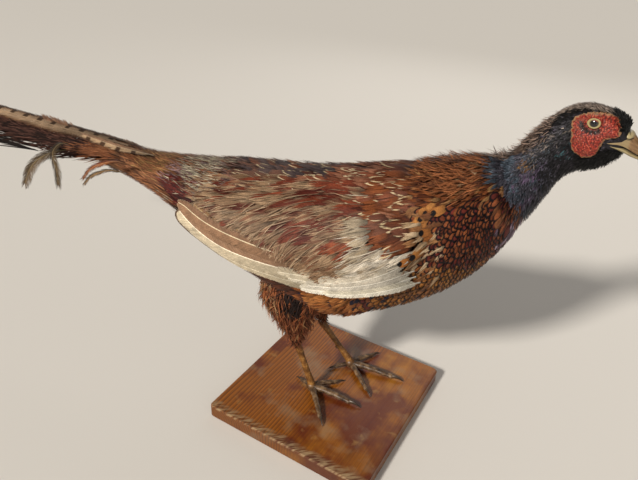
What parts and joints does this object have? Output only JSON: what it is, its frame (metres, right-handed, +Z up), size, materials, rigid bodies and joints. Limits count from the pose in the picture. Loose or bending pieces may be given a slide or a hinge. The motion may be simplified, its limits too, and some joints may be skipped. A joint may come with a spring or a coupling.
{
  "type": "taxidermy pheasant",
  "caption": "Life-size mounted cock pheasant striding on a square varnished board, long barred tail level behind, head turned a little to its right.",
  "frame": {"origin": "on the underside of the board, below the middle plane of the bird's body", "axes": "+X along the body towards the bill, +Y to the bird's left, +Z up from the board"},
  "size_m": [0.8402, 0.2106, 0.3537],
  "materials": {
    "trunk_plumage": "feathers, barred chestnut and copper",
    "head_plumage": "short dark feathers, faint violet sheen",
    "rump_plumage": "rusty hair-like covert feathers",
    "wing_plumage": "folded flight feathers and pale coverts",
    "tail_plumage": "long barred tail feathers",
    "thigh_plumage": "loose brown feathers",
    "wattle_skin": "dry red pebbled bare skin",
    "eye_glass": "glossy glass eye, yellow iris",
    "bill_horn": "dry ochre horn",
    "leg_scale": "dry scaled skin",
    "claw_horn": "dark horn",
    "varnished_pine": "varnished knotty pine"
  },
  "bodies": {
    "root": {"base_board": "varnished_pine", "bent_feather_1": "tail_plumage", "bent_feather_2": "tail_plumage", "bill_lower": "bill_horn", "bill_upper": "bill_horn", "claw_left_1": "claw_horn", "claw_left_2": "claw_horn", "claw_left_3": "claw_horn", "claw_left_4": "claw_horn", "claw_right_1": "claw_horn", "claw_right_2": "claw_horn", "claw_right_3": "claw_horn", "claw_right_4": "claw_horn", "eye_left": "eye_glass", "eye_right": "eye_glass", "head": "head_plumage", "leg_left": "leg_scale", "leg_right": "leg_scale", "neck": "head_plumage", "tail_coverts": "rump_plumage", "tail_left_1": "tail_plumage", "tail_left_2": "tail_plumage", "tail_left_3": "tail_plumage", "tail_left_4": "tail_plumage", "tail_right_1": "tail_plumage", "tail_right_2": "tail_plumage", "tail_right_3": "tail_plumage", "tail_right_4": "tail_plumage", "thigh_left": "thigh_plumage", "thigh_right": "thigh_plumage", "trunk": "trunk_plumage", "wattle_left": "wattle_skin", "wattle_right": "wattle_skin", "wing_left": "wing_plumage", "wing_right": "wing_plumage"}
  },
  "joints": []
}
